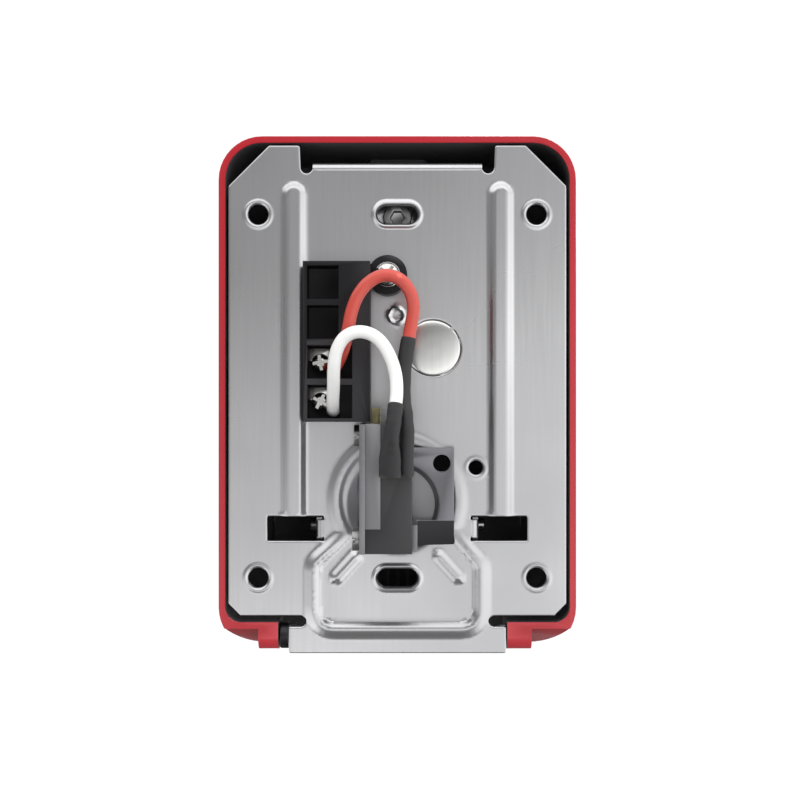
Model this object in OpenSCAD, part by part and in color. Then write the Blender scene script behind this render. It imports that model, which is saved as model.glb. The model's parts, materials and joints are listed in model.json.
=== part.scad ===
// Manual fire alarm station: a steel back plate that carries the wiring, the switch and the pull handle,
// and a red cover that hinges on its lower edge.
// Millimetres. The origin is on the wall plane (y = 0), midway between the two gang box slots.
// -Y is the front, towards the room. +Y goes into the wall box. +Z is up.

/* [Back plate] */
// Width of the plate
plate_w = 77.4; // [76.8:0.1:77.8]
// Sheet thickness
sheet = 1.2; // [1.1:0.05:1.3]
// Spacing of the two gang box slots
box_spacing = 83.3; // [83:0.1:83.6]
// Sideways spacing of the four corner holes
corner_dx = 63.8; // [63:0.1:64.5]
// Radius of the corner holes
corner_r = 2.3; // [2:0.05:2.5]
// Height of the pressed ribs and beads
bead_h = 1.0; // [0.6:0.1:1.2]

/* [Cover] */
// Width of the cover at its open rear rim
cover_w = 82; // [81.6:0.1:84]
// Depth of the cover
cover_d = 28.5; // [28:0.1:29]
// Wall at the rear rim
wall = 1.6; // [1.4:0.1:1.8]
// Radius of the cover's outer corners
corner_round = 10; // [8:0.5:11]

/* [Handle] */
// Half width of the handle's face
face_half = 30.55; // [26:0.05:30.6]
// How far the grip stands in front of the face
grip_out = 5.5; // [3:0.5:5.5]
// Radius of the pin the handle turns on
pin_r = 1.5; // [1.4:0.05:1.6]

/* [Wiring] */
// Outer radius of the leads
lead_r = 1.4; // [1.2:0.05:1.45]
// Spacing of the terminals
term_pitch = 8.75; // [8.5:0.05:9]

/* [Hidden] */
$fn = 48;
eps = 0.1;

// Plate outline
plate_half = plate_w / 2;
ear_top = 57.4;
ear_in = 22.4;
ear_out = 29.4;
top_chamfer = plate_half - ear_out;
fold_z = 53.6;
wing_bottom = -50.3;
wing_chamfer = 2.8;
tab_half = 24.9;
tab_bottom = -58.9;
notch_h = 2.6;
notch_in = 22.2;
relief_r = 1.4;
relief_x = 20.8;
box_z = box_spacing / 2;

// Pressed shapes
rib_x = 23.7;
rib_half = 1.8;
rib_top = 49;
window_top = -27.5;
window_bottom = -33.2;
window_in = 17.1;
window_out = 29.8;
bell_z = -23.8;
bell_r = 14.2;
bell_half = 18.5;
bell_bottom = -53.8;
bell_corner = 4.5;
bead_half = 1.2;
well_z = -24.7;
well_r = 9.65;
dish_r = 11.6;
dish_depth = 0.5;

// Handle pivot
pivot_y = -10;
pivot_z = -30.4;
ear_near = 17.2;
ear_far = ear_near + sheet;
ear_depth = 12.8;
ear_half = 2.7;
tongue_half = 2.2;
clearance = 0.05;
barrel_r = 4.5;
barrel_half = 16.8;
face_front = -27.5;
face_t = 3.5;
face_top = 13;
spring_turns = 4;
spring_steps = 16;
spring_r = 5.4;
spring_x = 7.6;

// Cover hinge at the lower edge, and the lock at the top
hinge_y = -3.2;
hinge_z = -55.2;
hinge_r = 1.2;
collar_r = 3.1;
pin_reach = 3.2;
foot_left = [27.3, 31.9];
foot_right = [-30.8, -25.15];
foot_gap = 0.25;
cover_top = 59.6;
cover_bottom = -58.4;
cover_half = cover_w / 2;
front_t = 2.2;
rim_bottom = -51.8;
win_half = face_half + 0.25;
win_top = face_top + 1.5;
win_bottom = -40;
cavity_foot_round = 4.5;
lock_z = box_z;
lock_r = 6;
cam_y = -9;
cam_t = 1.5;
cam_len = 13.5;

// Terminal block
block_l = 20.8;
block_r = 6;
block_top = 29.7;
block_bottom = -5.7;
block_h = 11;
pocket_floor = 4;
pocket_in = 12.9;
pocket_out = 19.9;
term_z = 25;
term_x = 17.2;
head_r = 2;
ear_x = 2.2;
ear_z = 27.2;
block_ear_h = 6;

// Switch and its bracket
base_y = bead_h;
base_bottom = -33.9;
base_top = -11.7;
base_right = -12.9;
foot_top = -28.2;
flange_x = 6.9;
case_y = base_y + sheet;
case_d = 15.9;
case_top = -6.1;
case_rear = case_y + case_d;
case_bottom = base_bottom;
case_right = -3.2;
split_x = 3.6;
step_z = -28.6;
plunger_z = -19;
plunger_x = 1.7;
plunger_r = 1.2;
plunger_tip = -2.5;
plunger_hole_r = 2.2;
switch_holes = [[case_y + 2.8, -8.9], [case_y + 13.1, -31.1]];

// Spare blade at the switch's upper end
blade_x = 4.7;
blade_y = 11;
blade_out = 3.5;

// Where a lead stands in its pocket, beside the screw
lead_x = 14.35;
lead_drop = 2.05;

// Solder tabs on the case's rear face, for the white and the red lead.
solder_x = [1.5, -1.9];
solder_y = [21.8, 19.85];
solder_half = [1.3, 1];
solder_top = -12.3;
solder_foot = -17.4;
solder_t = 0.5;

// Hand-laid routes of the two leads, from their terminals to the switch
red_route = [
    [lead_x, pocket_floor, term_z - 2 * term_pitch - lead_drop], [14.35, 7.6, 5.6], [13.2, 10, 7.2],
    [12.0, 12.4, 9.6], [11.1, 13.8, 12.4], [10.5, 14.2, 15.4], [9.8, 14.4, 18.6], [8.5, 14.6, 21.8],
    [6.4, 14.8, 24.4], [3.8, 15, 25.9], [1.3, 15, 26], [-1.1, 14.8, 24.8], [-2.9, 14.4, 22.2],
    [-3.5, 13.9, 19.2], [-3.1, 13.6, 15.9], [-2.5, 13.7, 12.6], [-1.8, 14.3, 8.2], [-1.3, 15.6, 3.4],
    [-1.3, 17.2, -1.0], [-1.8, 19.1, -4.5], [-2, 19.9, -8], [solder_x[1], solder_y[1], solder_top - 0.3]];
red_sleeve_from = 15;
white_route = [
    [lead_x, pocket_floor, term_z - 3 * term_pitch - lead_drop], [14.3, 8, -3.1], [14.1, 12, -1.2],
    [13.8, 15, 2.2], [13.6, 17, 6], [13.0, 18, 9.5], [11.6, 18.5, 12.1], [9.6, 18.8, 13.4], [7.3, 18.9, 13.6],
    [5, 18.9, 12.8], [3, 18.9, 10.9], [1.4, 19.0, 8], [0.4, 19.4, 4.8], [0.1, 20.2, 1.5], [0.3, 21.3, -1.8],
    [0.7, 22.4, -5.2], [1.2, 22.6, -8.6], [solder_x[0], solder_y[0], solder_top - 0.3]];
white_sleeve_from = 14;
sleeve_wall = 0.25;
lead_sides = 12;
route_steps = 3;

// ---- helpers ----

// Extrudes a shape drawn in X and Z from y0 to y1.
module slab(y0, y1) {
    translate([0, y1, 0]) rotate([90, 0, 0]) linear_extrude(y1 - y0) children();
}

// Extrudes a shape drawn in Y and Z from x0 to x1.
module side_slab(x0, x1) {
    translate([x0, 0, 0]) rotate([90, 0, 90]) linear_extrude(x1 - x0) children();
}

module box(x0, x1, y0, y1, z0, z1) {
    translate([x0, y0, z0]) cube([x1 - x0, y1 - y0, z1 - z0]);
}

// Cylinder along Y, from y0 to y1, at x and z.
module y_rod(x, z, r, y0, y1, fn = $fn) {
    translate([x, y1, z]) rotate([90, 0, 0]) cylinder(r = r, h = y1 - y0, $fn = fn);
}

// Cylinder along X, from x0 to x1, at y and z.
module x_rod(y, z, r, x0, x1) {
    translate([x0, y, z]) rotate([0, 90, 0]) cylinder(r = r, h = x1 - x0);
}

module both_sides() {
    children();
    mirror([1, 0, 0]) children();
}

module slot_2d(len, d) {
    square([len - d, d], center = true);
    for (s = [-1, 1]) translate([s * (len - d) / 2, 0]) circle(d = d);
}

module rounded_2d(half, z0, z1, r) {
    translate([-half + r, z0]) square([2 * (half - r), z1 - z0]);
    translate([-half, z0 + r]) square([2 * half, z1 - z0 - 2 * r]);
    for (x = [-half + r, half - r], z = [z0 + r, z1 - r]) translate([x, z]) circle(r);
}

function unit(v) = v / norm(v);

// One point on the smooth curve through the route, at step k of n after point i.
function curve_point(p, i, k, n) =
    let (last = len(p) - 1, t = k / n,
        a = p[max(i - 1, 0)], b = p[i], c = p[min(i + 1, last)], d = p[min(i + 2, last)])
    0.5 * (2 * b + (c - a) * t + (2 * a - 5 * b + 4 * c - d) * t * t + (3 * b - a - 3 * c + d) * t * t * t);

function curve(p, from, to, n) =
    concat([for (i = [from : to - 1], k = [0 : n - 1]) curve_point(p, i, k, n)], [p[to]]);

function tangents(p) =
    [for (i = [0 : len(p) - 1]) unit(p[min(i + 1, len(p) - 1)] - p[max(i - 1, 0)])];

// Carries a normal along the curve without twist.
function normals(t, n, i = 0) =
    i == len(t) ? [] : let (m = unit(n - (n * t[i]) * t[i])) concat([m], normals(t, m, i + 1));

// Sweeps a circle of radius r along the points p.
module sweep(p, r, sides, first = [0, 0, 1]) {
    t = tangents(p);
    m = normals(t, first);
    rings = [for (i = [0 : len(p) - 1], s = [0 : sides - 1])
        let (a = 360 * s / sides) p[i] + r * (cos(a) * m[i] + sin(a) * cross(t[i], m[i]))];
    walls = [for (i = [0 : len(p) - 2], s = [0 : sides - 1])
        let (a = i * sides + s, b = i * sides + (s + 1) % sides) [a, a + sides, b + sides, b]];
    caps = [[for (s = [0 : sides - 1]) s], [for (s = [sides - 1 : -1 : 0]) (len(p) - 1) * sides + s]];
    polyhedron(rings, concat(walls, caps), convexity = 8);
}

// Cross recess for a screw whose head's face is at y.
module cross_recess(x, z, y, r) {
    for (a = [0, 90]) translate([x, y, z]) rotate([0, a + 20, 0]) cube([2 * r, 2.2, 0.8], center = true);
}

// ---- back plate ----

module plate_2d() {
    both_sides() polygon([
        [0, fold_z], [ear_in, fold_z], [ear_in, ear_top], [ear_out, ear_top],
        [plate_half, ear_top - top_chamfer], [plate_half, wing_bottom + wing_chamfer],
        [plate_half - wing_chamfer, wing_bottom], [notch_in, wing_bottom], [notch_in, wing_bottom - notch_h],
        [tab_half, wing_bottom - notch_h], [tab_half, tab_bottom], [0, tab_bottom]]);
}

module bell_2d(g) {
    translate([0, bell_z]) circle(bell_r + g);
    polygon([[-10.4 - g, -29.8], [10.4 + g, -29.8], [bell_half + g, -38.4], [-bell_half - g, -38.4]]);
    rounded_2d(bell_half + g, bell_bottom - g, -38.4 + bell_corner + g, bell_corner + g);
}

module bell_inner_2d(g) {
    translate([0, bell_z]) circle(bell_r - g);
    polygon([[-10.4 + g, -29.8], [10.4 - g, -29.8], [bell_half - g, -38.4 - g], [-bell_half + g, -38.4 - g]]);
    rounded_2d(bell_half - g, bell_bottom + g, -38.4, bell_corner - g);
}

module rib_2d(g) {
    height = rib_top - window_top - rib_half;
    translate([rib_x - rib_half - g, window_top]) square([2 * (rib_half + g), height]);
    translate([rib_x, rib_top - rib_half]) circle(rib_half + g);
}

module pressings() {
    both_sides() slab(-eps, bead_h) rib_2d(0.4);
    slab(-eps, bead_h) difference() {
        intersection() {
            bell_2d(bead_half);
            translate([-30, bell_bottom - 5]) square([60, 50]);
        }
        bell_inner_2d(bead_half);
    }
    y_rod(0.2, 18.4, 1.9, -eps, 0.5);
}

module pivot_ears() {
    both_sides() difference() {
        union() {
            box(ear_near, ear_far, pivot_y, -sheet, pivot_z - ear_half, pivot_z + ear_half);
            x_rod(pivot_y, pivot_z, ear_half, ear_near, ear_far);
        }
        x_rod(pivot_y, pivot_z, pin_r, ear_near - 1, ear_far + 1);
    }
}

module latch_flange() {
    difference() {
        box(-relief_x + relief_r, relief_x - relief_r, -13, -sheet + eps, fold_z - sheet, fold_z);
        box(-11, 11, cam_y - 1.6, cam_y + 1.6, fold_z - 2 * sheet, fold_z + sheet);
    }
}

module hinge_lugs() {
    both_sides() difference() {
        union() {
            box(tab_half - sheet, tab_half, hinge_y, -sheet + eps, hinge_z - 2.4, hinge_z + 2.2);
            x_rod(hinge_y, hinge_z, 2.2, tab_half - sheet, tab_half);
        }
        x_rod(hinge_y, hinge_z, hinge_r, tab_half - 2 * sheet, tab_half + sheet);
    }
}

module plate_holes() {
    for (x = [-corner_dx / 2, corner_dx / 2], z = [-box_z, box_z]) y_rod(x, z, corner_r, -3, 3);
    for (z = [-box_z, box_z]) slab(-3, 3) translate([0, z]) slot_2d(9.3, 4.2);
    both_sides() {
        difference() {
            box(window_in, window_out, -3, 3, window_bottom, window_top);
            box(window_in - 1, ear_far, -4, 4, pivot_z - tongue_half, pivot_z + tongue_half);
        }
        y_rod(relief_x, fold_z - sheet, relief_r, -3, 3);
        slab(-3, 3) translate([notch_in, wing_bottom - notch_h / 2]) circle(d = notch_h);
    }
    y_rod(-8.1, 11, 6.6, -3, 3);
    y_rod(-18, -16.4, 1.65, -3, 3);
    y_rod(plunger_x, plunger_z, plunger_hole_r, -3, 3);
    y_rod(0, well_z, dish_r, -dish_depth, 3);
    y_rod(-10.1, -15.3, 2, -3, 3);
    y_rod(ear_x, ear_z, 1.5, -3, 3);
    for (x = [5, -1.6]) y_rod(x, -13.3, 0.9, -3, 3);
}

module back_plate() {
    color("silver") difference() {
        union() {
            slab(-sheet, 0) plate_2d();
            pressings();
            pivot_ears();
            latch_flange();
            hinge_lugs();
        }
        plate_holes();
        both_sides() slab(-sheet - eps, -0.5) rib_2d(-0.5);
    }
}

module knockout_disc() {
    color("gainsboro") {
        y_rod(-8.1, 11, 6.4, -0.9, 0.2);
        for (a = [135, 250]) translate([-8.1, 0, 11]) rotate([0, a, 0]) box(6.2, 6.6, -0.7, -0.1, -0.4, 0.4);
    }
}

module plate_hinge_pins() {
    color("silver") {
        x_rod(hinge_y, hinge_z, hinge_r, tab_half - sheet, foot_left[0] + pin_reach);
        x_rod(hinge_y, hinge_z, collar_r, tab_half, foot_left[0] - foot_gap);
        x_rod(hinge_y, hinge_z, hinge_r, foot_right[1] - pin_reach, -tab_half + sheet);
        both_sides() x_rod(hinge_y, hinge_z, 1.9, tab_half - 2 * sheet, tab_half - sheet);
    }
}

// ---- terminal block ----

module terminal_block() {
    color([0.12, 0.12, 0.13]) difference() {
        union() {
            box(block_r, block_l, 0, block_h, block_bottom, block_top);
            y_rod(ear_x, ear_z, 4.4, 0, block_ear_h);
            box(ear_x, block_r + 1, 0, block_ear_h - 1, ear_z - 3, ear_z + 2.5);
        }
        for (i = [0 : 3]) box(pocket_in, pocket_out, pocket_floor, block_h + 1,
            term_z - i * term_pitch - 3.7, term_z - i * term_pitch + 3.7);
        for (i = [2, 3]) {
            y_rod(term_x, term_z - i * term_pitch, 1.4, 1, pocket_floor + 1);
            box(pocket_in - 3, pocket_in + 1, block_h - 4.6, block_h + 1,
                term_z - i * term_pitch - 3.7, term_z - i * term_pitch + 3.7);
        }
        y_rod(ear_x, ear_z, 1.5, -1, block_ear_h + 1);
    }
}

module terminal_screw(z) {
    difference() {
        union() {
            y_rod(term_x, z, head_r, 5.2, 7.4);
            y_rod(term_x, z, 1.4, 1, 5.3);
        }
        cross_recess(term_x, z, 7.4, 1.4);
    }
}

module terminal_screws() {
    color("white") for (i = [2, 3]) terminal_screw(term_z - i * term_pitch);
}

module terminal_clamp(z) {
    difference() {
        union() {
            y_rod(term_x, z, head_r - 0.05, pocket_floor, 5.2);
            box(term_x - 2.3, term_x + 2.6, pocket_floor, 5.2, z + 0.3, z + 3.2);
        }
        y_rod(term_x, z, 1.4, pocket_floor - 1, 7);
    }
}

module terminal_clamps() {
    color("gainsboro") for (i = [2, 3]) terminal_clamp(term_z - i * term_pitch);
}

module block_screw() {
    color("white") difference() {
        union() {
            y_rod(ear_x, ear_z, 2.8, block_ear_h, block_ear_h + 1.2);
            intersection() {
                translate([ear_x, block_ear_h - 1.6, ear_z]) sphere(4.4);
                y_rod(ear_x, ear_z, 2.8, block_ear_h + 1.2, block_ear_h + 3);
            }
            y_rod(ear_x, ear_z, 1.5, -3, block_ear_h);
        }
        cross_recess(ear_x, ear_z, block_ear_h + 2.8, 1.9);
    }
}

// ---- switch ----

module bracket_base() {
    difference() {
        box(base_right, flange_x + sheet, base_y, case_y, base_bottom, base_top);
        y_rod(0, well_z, well_r, 0, case_y + 1);
        y_rod(-10.1, -15.3, 2, 0, 4);
        for (x = [5, -1.6]) y_rod(x, -13.3, 0.9, 0, 4);
    }
    box(base_right, case_right, base_y, case_y, base_bottom, foot_top);
}

module switch_bracket() {
    color([0.62, 0.62, 0.64]) {
        bracket_base();
        box(case_right - sheet, case_right, base_y, 13, base_bottom, foot_top);
        difference() {
            box(flange_x, flange_x + sheet, base_y, case_rear + 0.6, base_bottom, case_top);
            for (s = switch_holes) x_rod(s[0], s[1], 1.4, flange_x - 1, flange_x + 3);
        }
    }
}

module bracket_rivets() {
    color("silver") for (x = [5, -1.6]) {
        y_rod(x, -13.3, 0.9, -sheet, case_y);
        y_rod(x, -13.3, 1.5, -sheet - 0.7, -sheet);
        y_rod(x, -13.3, 1.4, 0, base_y);
    }
}

module switch_case() {
    color([0.13, 0.13, 0.14]) difference() {
        union() {
            box(case_right, split_x, case_y, case_rear, case_bottom, case_top);
            box(split_x, flange_x, case_y, case_rear, case_bottom, step_z);
        }
        box(case_right + 1.2, split_x + 0.01, case_y + 2, case_rear - 1.6, case_bottom + 3.4, case_top - 1.8);
        y_rod(plunger_x, plunger_z, plunger_r + clearance, case_y - 1, case_y + 3);
        blade_slots();
        for (s = switch_holes) x_rod(s[0], s[1], 1.4, 0, flange_x + 1);
    }
}

module switch_cover() {
    color([0.55, 0.55, 0.57]) difference() {
        box(split_x, flange_x, case_y, case_rear, step_z, case_top);
        blade_slots();
        x_rod(switch_holes[0][0], switch_holes[0][1], 1.4, 0, flange_x + 1);
    }
}

module switch_screws() {
    color("silver") for (s = switch_holes) {
        x_rod(s[0], s[1], 1.4, 0, flange_x + sheet);
        difference() {
            x_rod(s[0], s[1], 2.4, flange_x + sheet, flange_x + sheet + 1.6);
            box(flange_x + sheet + 1, flange_x + 4, s[0] - 3, s[0] + 3, s[1] - 0.4, s[1] + 0.4);
        }
    }
}

// Spare blade out of the switch's upper end.
module spare_blade(out) {
    box(blade_x - 1, blade_x + 1, blade_y - 0.3, blade_y + 0.3, case_top - 4, case_top + out);
}

// Part of solder tab i, as wide as the tab.
module solder_box(i, y0, y1, z0, z1) {
    box(solder_x[i] - solder_half[i], solder_x[i] + solder_half[i], y0, y1, z0, z1);
}

// Foot of a solder tab, through the case's rear wall.
module solder_root(i) {
    solder_box(i, case_rear - 2.6, solder_y[i], solder_foot, solder_foot + solder_t);
}

module blade_slots() {
    spare_blade(1);
    for (i = [0, 1]) solder_root(i);
}

module switch_terminals() {
    color([0.72, 0.6, 0.25]) {
        spare_blade(blade_out);
        for (i = [0, 1]) {
            solder_root(i);
            blade_y0 = solder_y[i] - solder_t / 2;
            solder_box(i, blade_y0, blade_y0 + solder_t, solder_foot, solder_top - 0.5);
        }
    }
}

module switch_blade() {
    color([0.75, 0.55, 0.25]) box(plunger_x - 1.6, plunger_x + 1.6, 7, 7.3, case_bottom + 4, case_top - 2);
}

module switch_contacts() {
    color("silver") {
        y_rod(plunger_x, case_bottom + 6, 1.2, 7.3, 8.1);
        y_rod(plunger_x, case_bottom + 6, 1.2, 8.9, 9.7);
        box(plunger_x - 1.5, plunger_x + 1.5, 9.7, 10.3, case_bottom + 3.4, case_bottom + 8);
    }
}

module switch_plunger() {
    color([0.75, 0.2, 0.15]) {
        y_rod(plunger_x, plunger_z, plunger_r, plunger_tip + plunger_r * 0.5, 6.9);
        intersection() {
            translate([plunger_x, plunger_tip + 1.4, plunger_z]) sphere(1.4);
            y_rod(plunger_x, plunger_z, plunger_r, plunger_tip, plunger_tip + 1);
        }
    }
}

// ---- leads ----

module lead_solid(route, from, r) {
    sweep(curve(route, from, len(route) - 1, route_steps), r, lead_sides);
}

module red_lead() {
    color([0.85, 0.25, 0.2]) lead_solid(red_route, 0, lead_r);
}

module white_lead() {
    color("white") lead_solid(white_route, 0, lead_r);
}

// Shrink tube over a lead's last stretch and its solder tab, down to the tab's foot.
module sleeve(route, from) {
    last = len(route) - 1;
    end = route[last];
    foot = [[end[0], end[1], solder_foot + 2 * solder_t]];
    color([0.1, 0.1, 0.1]) difference() {
        sweep(concat(curve(route, from, last, route_steps), foot), lead_r + sleeve_wall, lead_sides);
        sweep(concat(curve(route, from - 1, last, route_steps), foot - [[0, 0, 1]]), lead_r, lead_sides);
    }
}

module red_sleeve() {
    sleeve(red_route, red_sleeve_from);
}

module white_sleeve() {
    sleeve(white_route, white_sleeve_from);
}

// ---- handle ----

module handle_pin() {
    color("silver") x_rod(pivot_y, pivot_z, pin_r, -ear_far - 2.2, ear_far + 2.2);
}

module pin_clips() {
    color("gray") both_sides() difference() {
        x_rod(pivot_y, pivot_z, 3, ear_far, ear_far + 0.7);
        x_rod(pivot_y, pivot_z, pin_r, ear_far - 1, ear_far + 1);
    }
}

module handle_spring() {
    coil = [for (i = [0 : spring_turns * spring_steps])
        let (a = 360 * i / spring_steps)
        [spring_x + i * 1.05 / spring_steps, pivot_y + spring_r * cos(a), pivot_z - spring_r * sin(a)]];
    wall_leg = [[spring_x - 0.1, -1.75, -19], [spring_x - 0.1, -2.6, -23]];
    face_leg = [[spring_x + 4.3, -4.4, -24], [spring_x + 4.4, -9, -17.5], [spring_x + 4.4, -23.3, -5]];
    color([0.6, 0.6, 0.62]) sweep(concat(wall_leg, coil, face_leg), 0.45, 8, [1, 0, 0]);
}

// Side profile of the handle's face: a flat plate whose lower end curves about the pivot.
module face_profile() {
    translate([face_front, pivot_z]) square([face_t, face_top - pivot_z]);
    intersection() {
        translate([pivot_y, pivot_z]) difference() {
            circle(-face_front + pivot_y);
            circle(-face_front + pivot_y - face_t);
        }
        translate([-40, -38]) square([40 + pivot_y - 4, 38 + pivot_z + 0.5]);
    }
}

module handle_cheek(x0, x1) {
    side_slab(x0, x1) union() {
        polygon([[-24.4, -12], [-7.5, -26.6], [-7.5, -33.6], [-24.2, -36.6]]);
        translate([pivot_y, pivot_z]) circle(barrel_r);
    }
}

module grip_bar(half_x, z0, z1, y1) {
    hull() {
        box(-half_x, half_x, face_front - 1, face_front, z0, z1);
        box(-half_x + 1.6, half_x - 1.6, y1, face_front, z0 + 1.6, z1 - 1.6);
    }
}

module pull_handle() {
    color([0.92, 0.92, 0.9]) difference() {
        union() {
            side_slab(-face_half, face_half) face_profile();
            both_sides() handle_cheek(barrel_half - 3, barrel_half);
            x_rod(pivot_y, pivot_z, barrel_r, -barrel_half, barrel_half);
            side_slab(plunger_x - 2.6, plunger_x + 2.6)
                polygon([[-13, -27.5], [-8.5, -16.6], [-2.6, -16.6], [-2.6, -21.4], [-6.3, -27]]);
            grip_bar(27, -3, 10, face_front - grip_out);
            grip_bar(9, -24, 0, face_front - grip_out);
        }
        x_rod(pivot_y, pivot_z, pin_r + clearance, -barrel_half - 1, barrel_half + 1);
        for (z = [-20, -14, -8]) slab(face_front - grip_out - 1, face_front - grip_out + 0.8)
            polygon([[0, z - 2.2], [5, z + 1.6], [5, z + 4], [0, z + 0.2], [-5, z + 4], [-5, z + 1.6]]);
    }
}

// ---- cover and lock ----

module cover_outer() {
    hull() {
        slab(-cover_d + 5, 0) rounded_2d(cover_half, cover_bottom, cover_top, corner_round);
        slab(-cover_d + 1.6, 0)
            rounded_2d(cover_half - 1.2, cover_bottom + 1.2, cover_top - 1.2, corner_round - 1);
        slab(-cover_d, 0) rounded_2d(cover_half - 3, cover_bottom + 3, cover_top - 3, corner_round - 2);
    }
}

module flare_cuts() {
    for (reach = [[foot_left[1], cover_half + 1], [-cover_half - 1, foot_right[0]]])
        side_slab(reach[0], reach[1])
            polygon([[eps, -53.2], [-1, -53.2], [-11, cover_bottom - 0.4], [-11, -62], [eps, -62]]);
}

module foot_rounding() {
    difference() {
        box(foot_right[0] - 1, foot_left[1] + 1, hinge_y, eps, -60, hinge_z);
        x_rod(hinge_y, hinge_z, -hinge_y, foot_right[0] - 2, foot_left[1] + 2);
    }
}

module front_cover() {
    color([0.78, 0.1, 0.12]) difference() {
        union() {
            difference() {
                cover_outer();
                slab(-cover_d + front_t, eps)
                    rounded_2d(cover_half - wall, rim_bottom, cover_top - wall, corner_round - wall);
                slab(-cover_d + front_t, eps)
                    rounded_2d(cover_half - wall, rim_bottom, 0, cavity_foot_round);
            }
            difference() {
                y_rod(0, 52, 9.1, -cover_d + front_t - eps, -18);
                y_rod(0, lock_z, 9.6, -cover_d + front_t, 0);
                box(-20, 20, -30, 0, cover_top - wall, 70);
            }
            y_rod(0, lock_z, 10, -cover_d - 1.5, -cover_d + 1);
            for (x = [-5, -2.5, 0, 2.5, 5]) box(x - 0.5, x + 0.5, -cover_d + 1, -24, -51, -42.5);
            for (x = [-34, 34]) box(x - 2.5, x + 2.5, -cover_d - 0.7, -cover_d + 1, -38, 12);
        }
        box(-win_half, win_half, -40, -20, win_bottom, win_top);
        box(foot_right[1], foot_left[0], -12, eps, -62, rim_bottom + eps);
        flare_cuts();
        foot_rounding();
        y_rod(0, lock_z, lock_r, -40, -10);
        x_rod(hinge_y, hinge_z, hinge_r + clearance, foot_left[0] - 1, foot_left[0] + pin_reach + 0.4);
        x_rod(hinge_y, hinge_z, hinge_r + clearance, foot_right[1] - pin_reach - 0.4, foot_right[1] + 1);
    }
}

module lock_barrel() {
    color([0.75, 0.75, 0.77]) difference() {
        union() {
            y_rod(0, lock_z, lock_r, -cover_d - 1.5, -13);
            y_rod(0, lock_z, 7.6, -cover_d - 3.5, -cover_d - 1.5);
        }
        y_rod(0, lock_z, 4.05, -40, 0);
    }
}

module lock_nut() {
    color("silver") difference() {
        y_rod(0, lock_z, 8.4, -cover_d + front_t, -cover_d + front_t + 2.6, 6);
        y_rod(0, lock_z, lock_r, -40, 0);
    }
}

module lock_plug() {
    color([0.8, 0.8, 0.82]) difference() {
        y_rod(0, lock_z, 4, -cover_d - 3.2, cam_y - cam_t / 2);
        box(-0.5, 0.5, -40, -cover_d + 2, lock_z - 2.6, lock_z + 2.6);
        y_rod(0, lock_z, 1.2, -14, 0);
    }
}

module lock_cam() {
    color("silver") slab(cam_y - cam_t / 2, cam_y + cam_t / 2) translate([0, lock_z]) difference() {
        union() {
            circle(5);
            translate([0, -3.4]) square([cam_len - 3.4, 6.8]);
            translate([cam_len - 3.4, 0]) circle(3.4);
        }
        circle(1.2);
    }
}

module cam_screw() {
    color("silver") difference() {
        union() {
            y_rod(0, lock_z, 1.2, -14, cam_y + cam_t / 2);
            y_rod(0, lock_z, 3.3, cam_y + cam_t / 2, -5);
        }
        y_rod(0, lock_z, 1.7, -6.6, -4, 6);
    }
}

back_plate();
knockout_disc();
plate_hinge_pins();
terminal_block();
terminal_screws();
terminal_clamps();
block_screw();
switch_bracket();
bracket_rivets();
switch_case();
switch_cover();
switch_screws();
switch_terminals();
switch_blade();
switch_contacts();
switch_plunger();
red_lead();
white_lead();
red_sleeve();
white_sleeve();
handle_pin();
pin_clips();
handle_spring();
pull_handle();
front_cover();
lock_barrel();
lock_nut();
lock_plug();
lock_cam();
cam_screw();
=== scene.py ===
"""Looks of the fire alarm pull station: detailed meshes, procedural materials, studio light and camera."""

import json
import math

import bmesh
import bpy
import numpy as np
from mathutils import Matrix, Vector, geometry


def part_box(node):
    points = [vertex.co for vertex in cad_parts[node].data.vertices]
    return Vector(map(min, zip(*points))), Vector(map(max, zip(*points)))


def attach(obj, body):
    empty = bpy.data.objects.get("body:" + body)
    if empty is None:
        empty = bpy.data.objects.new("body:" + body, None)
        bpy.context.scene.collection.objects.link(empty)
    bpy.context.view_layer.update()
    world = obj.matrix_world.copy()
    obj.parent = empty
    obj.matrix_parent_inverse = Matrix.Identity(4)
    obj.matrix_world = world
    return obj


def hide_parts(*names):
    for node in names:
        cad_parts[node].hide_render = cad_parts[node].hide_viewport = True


MM = 0.001
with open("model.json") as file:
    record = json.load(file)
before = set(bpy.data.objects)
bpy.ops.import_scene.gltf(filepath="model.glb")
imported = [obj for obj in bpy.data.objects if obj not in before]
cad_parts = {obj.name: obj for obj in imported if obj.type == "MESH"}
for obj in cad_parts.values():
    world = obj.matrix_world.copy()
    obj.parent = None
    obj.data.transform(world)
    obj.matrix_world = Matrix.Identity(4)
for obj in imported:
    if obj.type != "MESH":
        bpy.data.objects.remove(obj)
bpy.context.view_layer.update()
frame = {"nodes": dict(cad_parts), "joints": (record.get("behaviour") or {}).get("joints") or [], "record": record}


# ---- where the CAD puts things, in millimetres ----

def cad_box(node):
    """Lowest and highest corner of a CAD node, in millimetres."""
    low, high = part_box(node)
    return [v / MM for v in low], [v / MM for v in high]


PLATE_LOW, PLATE_HIGH = cad_box("back_plate")
COVER_LOW, COVER_HIGH = cad_box("front_cover")
HANDLE_LOW, HANDLE_HIGH = cad_box("pull_handle")
HOLES = next(m for m in frame["record"]["mounts"] if m["name"] == "corner_holes")["dims"]
PIVOT = [v / MM for v in next(j for j in frame["joints"] if j["name"] == "handle_pull")["pos_m"]]
HINGE = [v / MM for v in next(j for j in frame["joints"] if j["name"] == "cover_hinge")["pos_m"]]

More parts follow.
